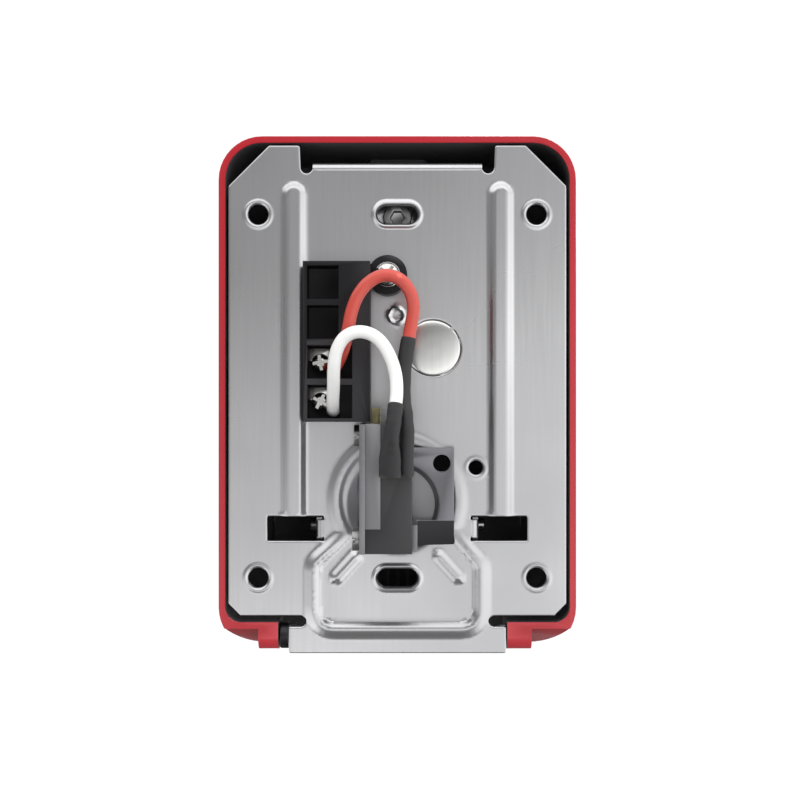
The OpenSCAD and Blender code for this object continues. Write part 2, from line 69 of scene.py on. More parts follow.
# Circles are given as (x, z, radius) and stretches as (from, to).
PLATE_HALF = PLATE_HIGH[0]
SHEET = 1.2
BEAD = 1.0
BOX_Z = HOLES["spacing_y_mm"] / 2
CORNER_X = HOLES["spacing_x_mm"] / 2
EAR_TOP = PLATE_HIGH[2]
TAB_BOTTOM = PLATE_LOW[2]
TAB_HALF = 24.9
FOLD_Z = 53.6
WING_BOTTOM = -50.3
NOTCH = 2.6
NOTCH_IN = 22.2
RELIEF_X = 20.8
RELIEF_R = 1.4
RIB_X = 23.7
RIB_TOP = 49.0
WINDOW = (17.1, 29.8, -33.2, -27.5)
EAR_ROOT = 17.3
BRACKET_HOLE_R = 9.65
BELL_Z = -23.8
BELL_R = 13.9
BELL_FOOT = (18.7, -38.6, -52.9)
DISH = (0.0, -24.7, 12.4)
DIMPLE = (0.2, 18.4)
PLUNGER_HOLE = (1.7, -19.0, 2.2)
FREE_HOLE = (-10.1, -15.3, 2)
TAPPED_HOLE = (-18, -16.4, 1.65)
KNOCKOUT = (-8.1, 11.0, 6.5)
LIP_SIDE = -4.5
LIP_TOP = -28.3
RIVET_X = (5, -1.6)
RIVET_Z = -13.3
COVER_HALF = COVER_HIGH[0]
COVER_TOP = COVER_HIGH[2]
COVER_BOTTOM = COVER_LOW[2]
COVER_CORNER = 10
COVER_WALL = 1.6
CHIN_TOP = -51.0
CHIN_FRONT = -12
FOOT_LEFT = (27.3, 31.9)
FOOT_RIGHT = (-30.8, -25.15)
FOOT_R = 3.2
LOCK_Z = BOX_Z


# ---- mesh helpers ----

WELD = 0.002


def make_object(name, verts, faces, material, sharp=35):
    """New object from millimetre coordinates, smooth shaded but for edges sharper than the given angle."""
    mesh = bpy.data.meshes.new(name)
    mesh.from_pydata([(x * MM, y * MM, z * MM) for x, y, z in verts], [], faces)
    mesh.materials.append(material)
    obj = bpy.data.objects.new(name, mesh)
    bpy.context.scene.collection.objects.link(obj)
    tidy_mesh(mesh, sharp)
    return obj


def tidy_mesh(mesh, sharp=35):
    """Welds close vertices, turns normals outwards and sets smooth shading."""
    bm = bmesh.new()
    bm.from_mesh(mesh)
    bmesh.ops.remove_doubles(bm, verts=bm.verts, dist=WELD * MM)
    bmesh.ops.recalc_face_normals(bm, faces=bm.faces)
    bm.to_mesh(mesh)
    bm.free()
    mesh.shade_smooth()
    mesh.set_sharp_from_angle(angle=math.radians(sharp))


def apply_modifiers(obj):
    """Turns an object's modifiers into its mesh."""
    graph = bpy.context.evaluated_depsgraph_get()
    mesh = bpy.data.meshes.new_from_object(obj.evaluated_get(graph))
    obj.modifiers.clear()
    obj.data = mesh
    return obj


def bevelled(obj, width, segments=3, angle=30, sharp=38, weld=2 * WELD, flat=0.5):
    """Merges faces that are flat within a small angle, then rounds the edges sharper than the other angle."""
    bm = bmesh.new()
    bm.from_mesh(obj.data)
    bmesh.ops.remove_doubles(bm, verts=bm.verts, dist=weld * MM)
    bmesh.ops.dissolve_limit(bm, angle_limit=math.radians(flat), verts=bm.verts, edges=bm.edges)
    bm.to_mesh(obj.data)
    bm.free()
    bevel = obj.modifiers.new("round", "BEVEL")
    bevel.width = width * MM
    bevel.segments = segments
    bevel.limit_method = "ANGLE"
    bevel.angle_limit = math.radians(angle)
    apply_modifiers(obj)
    tidy_mesh(obj.data, sharp)
    return obj


def softened(node, material, width=0.2, segments=2, sharp=38):
    """Copy of a CAD node with rounded edges, which stands for the node."""
    mesh = frame["nodes"][node].data.copy()
    mesh.materials.clear()
    mesh.materials.append(material)
    obj = bpy.data.objects.new(node + "_look", mesh)
    bpy.context.scene.collection.objects.link(obj)
    bevelled(obj, width, segments, 30, sharp, WELD, 0.6)
    return dress(obj, node)


def dress(obj, node):
    """Makes a piece stand for its CAD node, on that node's body."""
    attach(obj, BODY_OF[node])
    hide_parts(node)
    return obj


BODY_OF = {node: body for body, nodes in frame["record"]["behaviour"]["bodies"].items() for node in nodes}


def join(parts, sharp=35):
    """Joins objects into the first one."""
    bm = bmesh.new()
    for part in parts:
        bm.from_mesh(part.data)
    bm.to_mesh(parts[0].data)
    bm.free()
    for part in parts[1:]:
        bpy.data.objects.remove(part)
    tidy_mesh(parts[0].data, sharp)
    return parts[0]


def lathe(name, profile, centre, material, axis="y", steps=48, ring=False):
    """Turns a profile of (radius, height) points about an axis through centre. A ring has no end caps."""
    verts, faces = [], []
    for r, h in profile:
        for i in range(steps):
            a = 2 * math.pi * i / steps
            u, v = centre[0] + r * math.cos(a), centre[1] + r * math.sin(a)
            verts.append((u, h, v) if axis == "y" else (h, u, v))
    rows = len(profile)
    for k in range(rows if ring else rows - 1):
        for i in range(steps):
            j, after = (i + 1) % steps, (k + 1) % rows
            faces.append((k * steps + i, k * steps + j, after * steps + j, after * steps + i))
    if not ring:
        faces.append(tuple(range(steps)))
        faces.append(tuple(range((rows - 1) * steps, rows * steps)))
    return make_object(name, verts, faces, material)


def smooth_path(points, steps=6):
    """Catmull-Rom curve through the points."""
    p = [Vector(q) for q in points]
    last = len(p) - 1
    out = []
    for i in range(last):
        a, b, c, d = p[max(i - 1, 0)], p[i], p[i + 1], p[min(i + 2, last)]
        for k in range(steps):
            t = k / steps
            out.append(0.5 * (2 * b + (c - a) * t + (2 * a - 5 * b + 4 * c - d) * t * t
                              + (3 * b - a - 3 * c + d) * t ** 3))
    out.append(p[last])
    return out


def tube(name, path, radius, material, sides=28, first=(0, 0, 1)):
    """Sweeps a circle or an oval along a path.

    The radius is a number, or a function that gives both half-widths at a share of the way.
    """
    pick = radius if callable(radius) else (lambda t: (radius, radius))
    normal = Vector(first)
    verts, faces = [], []
    for i, point in enumerate(path):
        tangent = (path[min(i + 1, len(path) - 1)] - path[max(i - 1, 0)]).normalized()
        normal = (normal - tangent * normal.dot(tangent)).normalized()
        side = tangent.cross(normal)
        wide, deep = pick(i / (len(path) - 1))
        for s in range(sides):
            a = 2 * math.pi * s / sides
            verts.append(point + normal * (wide * math.cos(a)) + side * (deep * math.sin(a)))
    for i in range(len(path) - 1):
        for s in range(sides):
            t = (s + 1) % sides
            faces.append((i * sides + s, (i + 1) * sides + s, (i + 1) * sides + t, i * sides + t))
    faces.append(tuple(range(sides)))
    faces.append(tuple(range((len(path) - 1) * sides, len(path) * sides)))
    return make_object(name, verts, faces, material, 40)


def prism(name, outline, low, high, material, axis="y"):
    """Solid from an outline in the two other directions, between two places along the axis."""
    n = len(outline)
    at = "xyz".index(axis)
    verts = [(*p[:at], h, *p[at:]) for h in (low, high) for p in outline]
    faces = [tuple(range(n)), tuple(range(n, 2 * n))]
    faces += [(i, (i + 1) % n, n + (i + 1) % n, n + i) for i in range(n)]
    return make_object(name, verts, faces, material)


def cut(obj, cutters, operation="DIFFERENCE"):
    """Applies exact booleans and removes the cutters."""
    for cutter in cutters:
        mod = obj.modifiers.new("cut", "BOOLEAN")
        mod.solver = "EXACT"
        mod.operation = operation
        mod.object = cutter
    apply_modifiers(obj)
    for cutter in cutters:
        bpy.data.objects.remove(cutter)
    return obj


def even_shading(obj):
    """Weights the normals by area, so that flat faces stay flat beside rounded edges."""
    weighted = obj.modifiers.new("even", "WEIGHTED_NORMAL")
    weighted.keep_sharp = True
    apply_modifiers(obj)
    return obj


def circle_loop(x, z, r, n=40):
    return [(x + r * math.cos(2 * math.pi * i / n), z + r * math.sin(2 * math.pi * i / n)) for i in range(n)]


def box_loop(x0, x1, z0, z1):
    return [(x0, z0), (x1, z0), (x1, z1), (x0, z1)]


def slot_loop(x, z, length, height):
    """Round-ended slot along X."""
    r = height / 2
    reach = length / 2 - r
    points = []
    for middle, turn in ((x + reach, -0.5), (x - reach, 0.5)):
        for a in np.linspace(turn * math.pi, (turn + 1) * math.pi, 14):
            points.append((middle + r * math.cos(a), z + r * math.sin(a)))
    return points


def rounded_polygon(points, radius, steps=5):
    """Rounds each corner of a polygon. A point may carry its own radius as a third value."""
    out = []
    n = len(points)
    for i, point in enumerate(points):
        own = point[2] if len(point) > 2 else radius
        p, a, b = (Vector(q[:2]) for q in (point, points[i - 1], points[(i + 1) % n]))
        u, v = (a - p).normalized(), (b - p).normalized()
        if own <= 0 or u.angle(v) > 3.1:
            out.append(tuple(p))
            continue
        reach = min(own / math.tan(u.angle(v) / 2), (a - p).length * 0.48, (b - p).length * 0.48)
        start, end = p + u * reach, p + v * reach
        for k in range(steps + 1):
            t = k / steps
            out.append(tuple(start * (1 - t) ** 2 + p * (2 * t * (1 - t)) + end * t * t))
    return out


def resample(loop, step):
    """Adds points along a closed loop so that no stretch is longer than step."""
    out = []
    for i, (x, z) in enumerate(loop):
        u, v = loop[(i + 1) % len(loop)]
        n = max(1, math.ceil(math.hypot(u - x, v - z) / step))
        out += [(x + (u - x) * k / n, z + (v - z) * k / n) for k in range(n)]
    return out


def offset_loop(loop, d):
    """Moves a closed loop sideways by d. A positive d moves a counter-clockwise loop inwards."""
    p = np.array(loop)
    tangent = np.roll(p, -1, 0) - np.roll(p, 1, 0)
    tangent /= np.maximum(np.linalg.norm(tangent, axis=1), 1e-9)[:, None]
    return [tuple(q) for q in p + d * np.stack([-tangent[:, 1], tangent[:, 0]], 1)]


def area(loop):
    """Signed area, positive for a counter-clockwise loop."""
    return 0.5 * sum(x * loop[(i + 1) % len(loop)][1] - loop[(i + 1) % len(loop)][0] * z
                     for i, (x, z) in enumerate(loop))


def inside(loop, points):
    """Which of the points lie inside the loop."""
    points = np.asarray(points)
    hit = np.zeros(len(points), bool)
    for (x0, z0), (x1, z1) in zip(loop, loop[1:] + loop[:1]):
        if z0 == z1:
            continue
        crosses = (z0 > points[:, 1]) != (z1 > points[:, 1])
        hit ^= crosses & (points[:, 0] < (x1 - x0) * (points[:, 1] - z0) / (z1 - z0) + x0)
    return hit


def ease(t):
    """Smooth step: 0 up to t = 0 and 1 from t = 1."""
    t = np.clip(t, 0, 1)
    return t * t * (3 - 2 * t)


# ---- materials ----

class Nodes:
    """Short way to build a node tree. A value is a number or the output of another node."""

    def __init__(self, tree):
        self.tree = tree

    def add(self, kind, **inputs):
        node = self.tree.nodes.new(kind)
        for key, value in inputs.items():
            node.inputs[key.replace("_", " ")].default_value = value
        return node

    def link(self, a, b):
        self.tree.links.new(a, b)

    def math(self, operation, a, b=None):
        node = self.add("ShaderNodeMath")
        node.operation = operation
        for value, socket in ((a, node.inputs[0]), (b, node.inputs[1])):
            if isinstance(value, (int, float)):
                socket.default_value = value
            elif value is not None:
                self.link(value, socket)
        return node.outputs["Value"]

    def all_of(self, *masks):
        """1 where every mask is 1."""
        out = masks[0]
        for mask in masks[1:]:
            out = self.math("MULTIPLY", out, mask)
        return out

    def axes(self, vector):
        """The X, Y and Z values of a vector."""
        split = self.add("ShaderNodeSeparateXYZ")
        self.link(vector, split.inputs["Vector"])
        return split.outputs["X"], split.outputs["Y"], split.outputs["Z"]

    def step(self, source, low, high):
        """Smooth step from 0 to 1 while the source runs from low to high."""
        result = self.ramp(source, 0, 1, (low, high))
        result.node.interpolation_type = "SMOOTHSTEP"
        return result

    def ramp(self, source, low, high, at=(0.35, 0.65)):
        """Maps a 0 to 1 value to between two numbers."""
        node = self.add("ShaderNodeMapRange")
        node.inputs["From Min"].default_value = at[0]
        node.inputs["From Max"].default_value = at[1]
        node.inputs["To Min"].default_value = low
        node.inputs["To Max"].default_value = high
        self.link(source, node.inputs["Value"])
        return node.outputs["Result"]


class Surface(Nodes):
    """A material's nodes around its principled shader."""

    def __init__(self, name):
        self.material = bpy.data.materials.new(name)
        self.material.use_nodes = True
        super().__init__(self.material.node_tree)
        self.shader = self.tree.nodes["Principled BSDF"]
        self.place = self.add("ShaderNodeTexCoord").outputs["Object"]

    def noise(self, scale, detail=4.0, stretch=(1, 1, 1)):
        mapping = self.add("ShaderNodeMapping")
        mapping.inputs["Scale"].default_value = stretch
        self.link(self.place, mapping.inputs["Vector"])
        noise = self.add("ShaderNodeTexNoise", Scale=scale, Detail=detail, Roughness=0.55)
        self.link(mapping.outputs["Vector"], noise.inputs["Vector"])
        return noise.outputs["Fac"]

    def mix(self, factor, a, b):
        """Mixes two colours, or sockets, by a factor."""
        node = self.add("ShaderNodeMix")
        node.data_type = "RGBA"
        self.link(factor, node.inputs["Factor"])
        for value, label in ((a, "A"), (b, "B")):
            socket = next(s for s in node.inputs if s.name == label and s.type == "RGBA")
            if isinstance(value, tuple):
                socket.default_value = (*value, 1)
            else:
                self.link(value, socket)
        return next(s for s in node.outputs if s.type == "RGBA")

    def bump(self, height, strength, distance, normal=None):
        node = self.add("ShaderNodeBump", Strength=strength, Distance=distance)
        self.link(height, node.inputs["Height"])
        if normal is not None:
            self.link(normal, node.inputs["Normal"])
        return node.outputs["Normal"]

    def worn_edges(self):
        """1 on sharp convex edges, from the mesh's own shape."""
        return self.ramp(self.add("ShaderNodeNewGeometry").outputs["Pointiness"], 0, 1, (0.53, 0.62))

    def finish(self, color, rough, normal=None, metallic=0.0, **shader):
        """Connects the shader and gives the finished material."""
        self.shader.inputs["Metallic"].default_value = metallic
        for key, value in shader.items():
            self.shader.inputs[key.replace("_", " ")].default_value = value
        self.link(color, self.shader.inputs["Base Color"])
        self.link(rough, self.shader.inputs["Roughness"])
        if normal is not None:
            self.link(normal, self.shader.inputs["Normal"])
        return self.material


def metal(name, light, dark, rough, brush, patch=14, painted_shade_from=None):
    """Bare or plated metal: drawn grain, cloudy patches and fine scratches.

    Where the shade mask function gives 1, the metal is darkened by painted shade.
    """
    n = Surface(name)
    grain = n.noise(38, 5, brush)
    cloud = n.noise(patch, 3)
    scratch = n.noise(260, 2, (1, 1, 0.06))
    color = n.mix(n.ramp(cloud, 0, 1, (0.38, 0.66)), light, dark)
    color = n.mix(n.ramp(grain, 0, 0.35, (0.4, 0.7)), color, dark)
    # Painted shade: the metal turns dark where the mask gives 1.
    if painted_shade_from:
        color = n.mix(painted_shade_from(n), color, tuple(0.18 * c for c in dark))
    normal = n.bump(grain, 0.05, 0.12 * MM)
    normal = n.bump(scratch, 0.04, 0.05 * MM, normal)
    return n.finish(color, n.ramp(cloud, *rough), normal, 1.0)


def moulding(name, light, dark, rough=(0.38, 0.52), grain=900, bump=0.12, coat=0.0, shine=0.5):
    """Moulded plastic: fine spark-eroded texture, faint flow marks and paler worn edges."""
    n = Surface(name)
    fine = n.noise(grain, 3)
    flow = n.noise(70, 3, (1, 1, 0.35))
    color = n.mix(n.ramp(flow, 0, 1, (0.35, 0.68)), dark, light)
    color = n.mix(n.worn_edges(), color, tuple(min(1, c * 1.6 + 0.02) for c in light))
    normal = n.bump(fine, bump, 0.06 * MM)
    return n.finish(color, n.ramp(flow, *rough), normal, 0.0, Coat_Weight=coat, Specular_IOR_Level=shine)


def enamel(name, color, deep, inner, inner_and_shade_from):
    """Baked enamel on a casting: orange peel, small colour drift and worn edges.

    Where the mask function gives 1, the surface takes the dark inner colour and is dull: the cover's own black
    inside, and painted shade on the cover's chin and on the handle's back.
    """
    n = Surface(name)
    skin = n.noise(330, 2)
    broad = n.noise(28, 3)
    tone = n.mix(n.ramp(broad, 0, 1, (0.35, 0.68)), color, deep)
    tone = n.mix(n.worn_edges(), tone, tuple(min(1, c * 1.25 + 0.03) for c in color))
    mask = inner_and_shade_from(n)
    tone = n.mix(mask, tone, inner)
    roughness = n.math("MAXIMUM", n.ramp(broad, 0.2, 0.32), n.math("MULTIPLY", mask, 0.8))
    normal = n.bump(skin, 0.16, 0.12 * MM)
    return n.finish(tone, roughness, normal, 0.0, Coat_Weight=0.08, Coat_Roughness=0.12)


def bracket_lip(n):
    """1 on the bracket's lower lip beside the switch, where the steel gets painted shade."""
    x, _, z = n.axes(n.place)
    return n.all_of(n.math("LESS_THAN", x, LIP_SIDE * MM), n.math("LESS_THAN", z, LIP_TOP * MM))


def cover_inside_and_chin_shade(n):
    """1 on the cover's inner faces, nearly a wall's depth within its rounded outline, which are black; and 1 on
    the chin, where it is painted shade.
    """
    x, y, z = n.axes(n.place)
    side = n.math("SUBTRACT", n.math("ABSOLUTE", x), (COVER_HALF - COVER_CORNER) * MM)
    up = n.math("SUBTRACT", z, (COVER_TOP - COVER_CORNER) * MM)
    down = n.math("SUBTRACT", (COVER_BOTTOM + COVER_CORNER) * MM, z)
    side = n.math("MAXIMUM", side, 0)
    tall = n.math("MAXIMUM", n.math("MAXIMUM", up, down), 0)
    squares = n.math("ADD", n.math("MULTIPLY", side, side), n.math("MULTIPLY", tall, tall))
    depth = COVER_WALL - 0.15
    cavity = n.all_of(n.math("LESS_THAN", n.math("SQRT", squares), (COVER_CORNER - depth) * MM),
                      n.math("GREATER_THAN", z, (CHIN_TOP - 0.95) * MM),
                      n.math("GREATER_THAN", y, -26.35 * MM),
                      n.math("LESS_THAN", y, -0.15 * MM))
    # Painted shade: the chin's wall between the feet is darkened to stand for the shade there.
    chin = n.all_of(n.math("LESS_THAN", x, (FOOT_LEFT[0] + 0.05) * MM),
                    n.math("GREATER_THAN", x, (FOOT_RIGHT[1] - 0.05) * MM),
                    n.math("LESS_THAN", z, (CHIN_TOP + 0.1) * MM),
                    n.math("GREATER_THAN", y, (CHIN_FRONT - 0.1) * MM))
    return n.math("MAXIMUM", cavity, chin)


def handle_back_shade(n):
    """1 behind the handle's white enamel face, where the casting gets painted shade."""
    _, y, _ = n.axes(n.place)
    return n.math("GREATER_THAN", y, (HANDLE_LOW[1] + 8.8) * MM)


RED = (0.42, 0.016, 0.026)
DEEP_RED = (0.35, 0.011, 0.018)
# Dark inner colour: the cover's own black inside, and painted shade on its chin and on the handle's back.
INNER_BLACK_AND_SHADE = (0.06, 0.058, 0.062)

zinc = metal("zinc_plate", (0.74, 0.74, 0.75), (0.6, 0.6, 0.62), (0.25, 0.34), (30, 30, 1.2))
bright_zinc = metal("bright_zinc", (0.82, 0.82, 0.8), (0.7, 0.7, 0.68), (0.2, 0.3), (30, 30, 1.2))
# The bracket's lower lip gets painted shade.
bracket_steel = metal("bracket_steel", (0.38, 0.38, 0.4), (0.28, 0.28, 0.3), (0.32, 0.44), (1.2, 30, 30),
                      painted_shade_from=bracket_lip)
nickel = metal("nickel", (0.86, 0.85, 0.82), (0.7, 0.69, 0.66), (0.12, 0.24), (8, 8, 8), 60)
spring_metal = metal("spring_metal", (0.45, 0.45, 0.45), (0.3, 0.3, 0.3), (0.25, 0.4), (8, 8, 8), 60)
brass = metal("brass", (0.34, 0.31, 0.17), (0.24, 0.22, 0.12), (0.25, 0.4), (20, 20, 3), 60)
silver = metal("contact_silver", (0.8, 0.8, 0.8), (0.6, 0.6, 0.6), (0.2, 0.35), (8, 8, 8), 90)
# Black-oxide pins, made this dark also as painted shade, so that they sink into the shade of the gap between the
# feet.
dark_pin = metal("dark_pin", (0.06, 0.06, 0.065), (0.03, 0.03, 0.033), (0.35, 0.5), (8, 8, 8), 60)
black = moulding("black_moulding", (0.01, 0.009, 0.011), (0.006, 0.006, 0.007), (0.45, 0.6), shine=0.25)
case_black = moulding("case_black", (0.03, 0.029, 0.031), (0.022, 0.021, 0.023), (0.4, 0.52), shine=0.35)
grey = moulding("grey_moulding", (0.17, 0.17, 0.18), (0.13, 0.13, 0.14))
button_red = moulding("plunger_red", (0.5, 0.04, 0.03), (0.4, 0.03, 0.02), (0.25, 0.35))
red_pvc = moulding("red_insulation", (0.56, 0.075, 0.055), (0.48, 0.055, 0.04), (0.3, 0.42), 500, 0.1, 0.2)
white_pvc = moulding("white_insulation", (0.9, 0.9, 0.89), (0.84, 0.84, 0.82), (0.3, 0.42), 500, 0.1, 0.2)
shrink = moulding("shrink_tube", (0.02, 0.02, 0.022), (0.012, 0.012, 0.013), (0.42, 0.6), 420, 0.35)
# The red enamel is black inside the cover and painted shade on the chin.
red_enamel = enamel("red_enamel", RED, DEEP_RED, INNER_BLACK_AND_SHADE, cover_inside_and_chin_shade)
# The handle's back gets painted shade, dark like the shade inside the box behind the windows.
white_enamel = enamel("white_enamel", (0.84, 0.84, 0.82), (0.78, 0.78, 0.75), INNER_BLACK_AND_SHADE, handle_back_shade)


# ---- back plate ----

def bell_line():
    """Crest of the bell-shaped bead, as a closed loop."""
    below = 33
    turns = np.linspace(math.radians(-below), math.radians(180 + below), 60)
    arc = [(BELL_R * math.cos(a), BELL_Z + BELL_R * math.sin(a)) for a in turns]
    half, top, bottom = BELL_FOOT
    foot = [(-half, top, 3.5), (-half, bottom, 4.6), (half, bottom, 4.6), (half, top, 3.5)]
    return resample(arc[:-1] + rounded_polygon([arc[-1] + (0,)] + foot + [arc[0] + (0,)], 0, 8)[1:], 0.35)


def distance_to(loop, points):
    """Distance of each point from the nearest point of the loop."""
    line = np.array(loop)
    out = np.full(len(points), 1e9)
    for part in np.array_split(line, max(1, len(line) // 40)):
        gap = np.linalg.norm(points[:, None, :] - part[None, :, :], axis=2).min(axis=1)
        out = np.minimum(out, gap)
    return out


BELL = bell_line()


def distance_from(place, points):
    return np.hypot(points[:, 0] - place[0], points[:, 1] - place[1])


def segment_distance(points, a, b):
    """Distance of each point from the straight line between a and b."""
    a, b = np.array(a), np.array(b)
    along = np.clip(((points - a) @ (b - a)) / ((b - a) @ (b - a)), 0, 1)
    return np.linalg.norm(points - a - along[:, None] * (b - a), axis=1)


def rib_beads(h, points):
    """The two long ribs beside the middle."""
    for side in (-1, 1):
        d = segment_distance(points, (side * RIB_X, WINDOW[3] - 2.4), (side * RIB_X, RIB_TOP - 2.85))
        h = np.maximum(h, BEAD * ease((2.95 - d) / 1.5))
    return h


def bell_bead(h, points):
    """The bell's bead: low round the arc, full height at the foot and a faint trough along its inner side."""
    low = (np.abs(points[:, 0]) < 26) & (points[:, 1] < -4)
    part = points[low]
    d = distance_to(BELL, part)
    within = inside(BELL, part)
    foot = ease((-30 - part[:, 1]) / 7)
    outer = ease((2.6 + 0.4 * foot - d) / (2.1 + 0.4 * foot))
    inner = ease((1.5 - d) / 1.2) - 0.14 * foot * ease((4.2 - d) / 2.4)
    h[low] = np.maximum(h[low], BEAD * (0.36 + 0.64 * foot) * np.where(within, inner, outer))
    h[low] += np.where(within & (inner < 0), inner, 0)
    return h


def bar_beads(h, points):
    """Two short slanted bars inside the bell's foot, each with one steeper side."""
    for side in (-1, 1):
        start, end = np.array((side * 9.4, -37.0)), np.array((side * 13.6, -41.6))
        d = segment_distance(points, start, end)
        across = (points - start) @ np.array((-side * (end - start)[1], side * (end - start)[0]))
        h = np.maximum(h, 0.85 * np.where(across > 0, ease((2.3 - d) / 1.9), ease((1.5 - d) / 1.3)))
    return h


def beads(points):
    """Height of the ribs, the bell bead, the two bars inside it and the dimple."""
    h = rib_beads(np.zeros(len(points)), points)
    h = bar_beads(bell_bead(h, points), points)
    d = distance_from(DIMPLE, points)
    return h + 0.4 * ease((2.3 - d) / 0.5) - 0.45 * ease((1.6 - d) / 0.5)


def bowl(points):
    """1 at the middle of the dish behind the switch, 0 from its edge outwards."""
    return np.clip(1 - (distance_from(DISH, points) / (DISH[2] - 1)) ** 2, 0, 1)


def plate_height(points):
    """Height of the plate's rear face above the wall plane, with the shallow dish behind the switch."""
    points = np.asarray(points, float)
    return beads(points) - 0.3 * ease((DISH[2] - distance_from(DISH, points)) / 3.4) - 1.5 * bowl(points)


def plate_outline():
    """Outer edge of the flat sheet, with the relief holes beside the flange and the notches over the tab."""
    half = [(0, FOLD_Z - 1.6, 0), (RELIEF_X - RELIEF_R, FOLD_Z - 1.6, 0.1)]
    for a in np.linspace(math.radians(200), math.radians(360), 10):
        half.append((RELIEF_X + RELIEF_R * math.cos(a), FOLD_Z - 1.2 + RELIEF_R * math.sin(a), 0))
    chamfer = PLATE_HALF - 29.4
    half += [(22.4, EAR_TOP, 0.6), (PLATE_HALF - chamfer, EAR_TOP, 0.6), (PLATE_HALF, EAR_TOP - chamfer, 0.6),
             (PLATE_HALF, WING_BOTTOM + 2.8, 0.6), (PLATE_HALF - 2.8, WING_BOTTOM, 0.6)]
    half.append((NOTCH_IN, WING_BOTTOM, 0))
    r = NOTCH / 2
    for a in np.linspace(math.radians(90), math.radians(270), 10)[1:-1]:
        half.append((NOTCH_IN + r * math.cos(a), WING_BOTTOM - r + r * math.sin(a), 0))
    half.append((NOTCH_IN, WING_BOTTOM - NOTCH, 0))
    half += [(TAB_HALF, WING_BOTTOM - NOTCH, 0.5), (TAB_HALF, TAB_BOTTOM, 0.5)]
    return rounded_polygon(half + [(-p[0], *p[1:]) for p in reversed(half[1:])], 0)


def window_loop(side):
    """A pierced window. Its bent ear stands at the inner end, between two relief notches."""
    x0, x1, z0, z1 = WINDOW
    x0 -= 0.3
    root, middle, half = EAR_ROOT - 0.02, (z0 + z1) / 2, 1.95
    low, high = middle - half, middle + half
    points = [(x0, z0, 0.3), (x1, z0, 0.4), (x1, z1, 0.4), (x0, z1, 0.3), (x0, high, 0.2),
              (root, high, 0.1), (root, low, 0.1), (x0, low, 0.2)]
    return rounded_polygon([(side * p[0], *p[1:]) for p in points], 0)


def plate_holes():
    """Every hole's loop and the height of its raised, coined lip. A sheared hole has none."""
    corners = [(x, z) for x in (-CORNER_X, CORNER_X) for z in (-BOX_Z, BOX_Z)]
    holes = [(circle_loop(x, z, HOLES["hole_r_mm"]), 0.16) for x, z in corners]
    holes += [(slot_loop(0, z, 9.3, 4.2), 0.3) for z in (-BOX_Z, BOX_Z)]
    holes += [(window_loop(side), 0.0) for side in (-1, 1)]
    holes.append((circle_loop(*KNOCKOUT, 64), 0.0))
    holes.append((circle_loop(*TAPPED_HOLE, 28), 0.08))
    holes.append((circle_loop(*PLUNGER_HOLE, 28), 0.0))
    holes.append((circle_loop(*FREE_HOLE, 28), 0.0))
    return holes


# A rim's rows: distance from the edge, share of the lip's height, and height of its own.
COINED = ((0.0, -0.4, -0.22), (0.16, -0.05, -0.05), (0.4, 0.8, 0.0), (0.7, 1.0, 0.0), (1.0, 0.5, 0.0),
          (1.25, 0.0, 0.0), (1.55, 0.0, 0.0))
SHEARED = ((0.0, 0.0, -0.16), (0.1, 0.0, -0.04), (0.24, 0.0, 0.0), (0.5, 0.0, 0.0))
GRID = 0.42


def plate_loops():
    """The outline and every hole as counter-clockwise loops: (loop, height of its lip, way the rim lies)."""
    loops = [(resample(plate_outline(), 1.2), 0.0, 1)]
    loops += [(resample(loop, 0.9), lip, -1) for loop, lip in plate_holes()]
    for loop, _, _ in loops:
        if area(loop) < 0:
            loop.reverse()
    return loops


def on_sheet(loops, points):
    """Which of the points lie within the outline and in none of the holes."""
    result = inside(loops[0][0], points)
    for loop, _, _ in loops[1:]:
        result &= ~inside(loop, points)
    return result


def grid_points(loops):
    """Points of the sheet between its rims, four times as many where it slopes."""
    xs, zs = np.meshgrid(np.arange(-PLATE_HALF, PLATE_HALF, GRID), np.arange(TAB_BOTTOM, EAR_TOP, GRID))
    grid = np.stack([xs.ravel(), zs.ravel()], 1)
    number = np.arange(len(grid))
    even_row = number // xs.shape[1] % 2 == 0
    grid[~even_row, 0] += GRID / 2
    here = plate_height(grid)
    rise = [np.abs(plate_height(grid + move) - here) for move in ((0.3, 0), (0, 0.3), (-0.3, 0), (0, -0.3))]
    grid = grid[(rise[0] + rise[1] + rise[2] + rise[3] > 0.012) | ((number % 2 == 0) & even_row)]
    clear = on_sheet(loops, grid)
    for loop, lip, _ in loops:
        rim = (COINED if lip else SHEARED)[-1][0] + 0.1
        clear &= distance_to(resample(loop, 0.3), grid) >= rim + 0.12
    return grid[clear]


